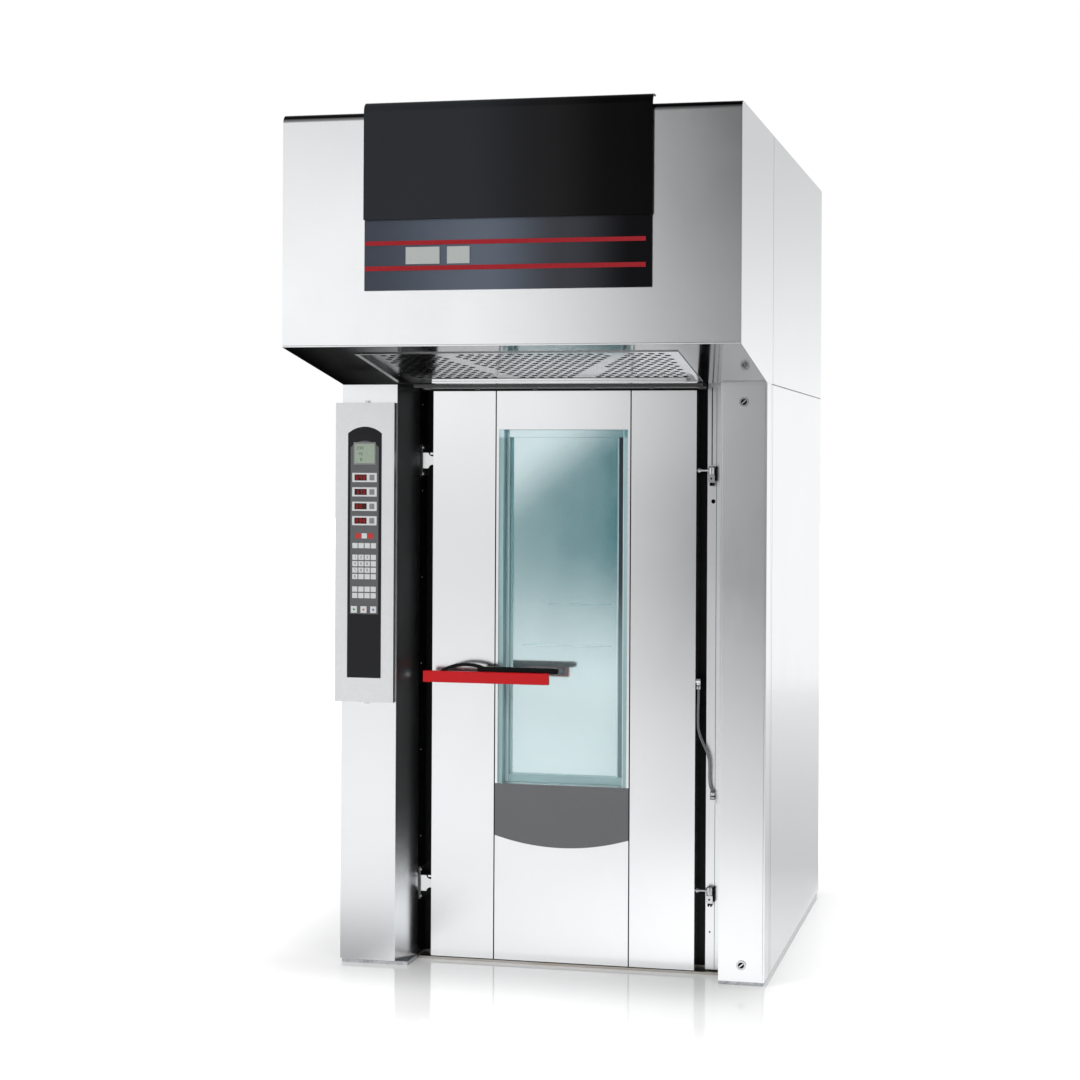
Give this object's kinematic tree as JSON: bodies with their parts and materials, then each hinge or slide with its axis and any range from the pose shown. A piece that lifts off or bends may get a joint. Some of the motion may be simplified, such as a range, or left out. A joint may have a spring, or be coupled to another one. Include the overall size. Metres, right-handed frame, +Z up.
{
  "type": "rotating rack oven",
  "caption": "Tall stainless bakery oven for one rolling rack: glazed hinged door with a red lever handle, splayed column with a control box, deep steam hood over the door.",
  "frame": {"origin": "on the floor under the middle of the whole oven's bounding box", "axes": "+Z up, -Y is the front with the door and the hood, +X to the right when facing the front"},
  "size_m": [1.414, 2.189, 2.752],
  "materials": {
    "stainless_panel": "brushed",
    "polished_tray": "polished",
    "bright_steel": "satin, machined",
    "galvanised_steel": "galvanised",
    "chamber_steel": "satin",
    "black_jamb": "satin black",
    "seal_rubber": "matt",
    "lagging": "mineral wool",
    "motor_enamel": "enamel",
    "dark_iron": "scaled",
    "heater_steel": "heat tinted",
    "copper_pipe": "drawn",
    "nylon_fittings": "matt",
    "smoked_visor": "smoked, gloss",
    "display_strip": "satin print",
    "fascia_foil": "satin foil",
    "display_cover": "gloss",
    "key_white": "satin",
    "door_panel": "brushed",
    "door_body": "mineral wool in a steel case",
    "trim_grey": "satin grey",
    "window_glass": "clear",
    "cable_armour": "corrugated hose",
    "red_grip": "satin red",
    "black_lever": "gloss black"
  },
  "bodies": {
    "cabinet": {"base_frame": "galvanised_steel", "support_frame": "galvanised_steel", "top_deck": "galvanised_steel", "left_column": "stainless_panel", "right_column": "stainless_panel", "service_cover": "stainless_panel", "side_panels": "stainless_panel", "back_panels": "stainless_panel", "door_frame": "black_jamb", "door_gasket": "seal_rubber", "door_sill": "chamber_steel", "hinge_post": "chamber_steel", "hinge_blocks": "bright_steel", "strikers": "bright_steel", "top_seal": "seal_rubber", "seal_clips": "bright_steel", "chamber_floor": "chamber_steel", "chamber_liner": "chamber_steel", "insulation": "lagging", "air_walls": "chamber_steel", "heater_bank": "heater_steel", "steam_cascade": "dark_iron", "water_pipe": "copper_pipe", "fan_plenum": "galvanised_steel", "fan_motor": "motor_enamel", "rack_drive": "motor_enamel", "damper_duct": "galvanised_steel", "switch_box": "galvanised_steel", "mains_gland": "nylon_fittings", "hood_casing": "stainless_panel", "hood_tray": "polished_tray", "grease_filter": "bright_steel", "drip_rail": "stainless_panel", "visor": "smoked_visor", "display_panel": "display_strip", "exhaust_fan_box": "bright_steel", "control_box": "stainless_panel", "control_fascia": "fascia_foil", "control_displays": "display_cover", "control_keys": "key_white", "door_cable": "cable_armour"},
    "door": {"door_core": "door_body", "door_skins": "door_panel", "door_trim": "trim_grey", "window_frame": "chamber_steel", "door_glass": "window_glass", "hinge_eyes": "bright_steel", "door_fittings": "bright_steel"},
    "handle": {"handle_grip": "red_grip", "handle_lever": "black_lever"},
    "latch": {"latch_rod": "bright_steel"},
    "rack": {"rack_carrier": "chamber_steel"},
    "chamber_fan": {"circulation_fan": "galvanised_steel"},
    "hood_fan": {"exhaust_wheel": "galvanised_steel"},
    "damper": {"damper_flap": "galvanised_steel"},
    "upper_lock": {"lock_upper": "bright_steel"},
    "lower_lock": {"lock_lower": "bright_steel"},
    "start_key": {"key_start": "key_white"},
    "stop_key": {"key_stop": "key_white"},
    "steam_key": {"key_steam": "key_white"}
  },
  "joints": [
    {"name": "door_swing", "type": "hinge", "parent": "cabinet", "child": "door", "pos_m": [0.512, -0.3705, 0.943], "axis": [0, 0, 1], "range_deg": [0, 100]},
    {"name": "handle_turn", "type": "hinge", "parent": "door", "child": "handle", "pos_m": [-0.385, -0.4005, 0.943], "axis": [0, 1, 0], "range_deg": [0, 90]},
    {"name": "latch_slide", "type": "slide", "parent": "door", "child": "latch", "axis": [0, 0, 1], "range_m": [0, 0.022]},
    {"name": "rack_turn", "type": "hinge", "parent": "cabinet", "child": "rack", "pos_m": [0.007, 0.2855, 1.9], "axis": [0, 0, 1], "continuous": true},
    {"name": "chamber_fan_spin", "type": "hinge", "parent": "cabinet", "child": "chamber_fan", "pos_m": [0.007, 0.7475, 2.06], "axis": [0, 0, 1], "continuous": true},
    {"name": "hood_fan_spin", "type": "hinge", "parent": "cabinet", "child": "hood_fan", "pos_m": [0.007, -0.5605, 2.5], "axis": [0, 0, 1], "continuous": true},
    {"name": "damper_turn", "type": "hinge", "parent": "cabinet", "child": "damper", "pos_m": [0.357, -0.1645, 2.02], "axis": [1, 0, 0], "range_deg": [0, 80]},
    {"name": "upper_lock_turn", "type": "hinge", "parent": "cabinet", "child": "upper_lock", "pos_m": [0.6335, -0.5005, 1.837], "axis": [0, 1, 0], "range_deg": [0, 90]},
    {"name": "lower_lock_turn", "type": "hinge", "parent": "cabinet", "child": "lower_lock", "pos_m": [0.6335, -0.5005, 0.064], "axis": [0, 1, 0], "range_deg": [0, 90]},
    {"name": "start_key_press", "type": "slide", "parent": "cabinet", "child": "start_key", "axis": [0, 1, 0], "range_m": [0, 0.0012], "stiffness_N_per_m": 600, "springref_m": -0.001},
    {"name": "stop_key_press", "type": "slide", "parent": "cabinet", "child": "stop_key", "axis": [0, 1, 0], "range_m": [0, 0.0012], "stiffness_N_per_m": 600, "springref_m": -0.001},
    {"name": "steam_key_press", "type": "slide", "parent": "cabinet", "child": "steam_key", "axis": [0, 1, 0], "range_m": [0, 0.0012], "stiffness_N_per_m": 600, "springref_m": -0.001}
  ],
  "couplings": [
    {"joint": "latch_slide", "follows": "handle_turn", "m_per_rad": 0.014}
  ]
}
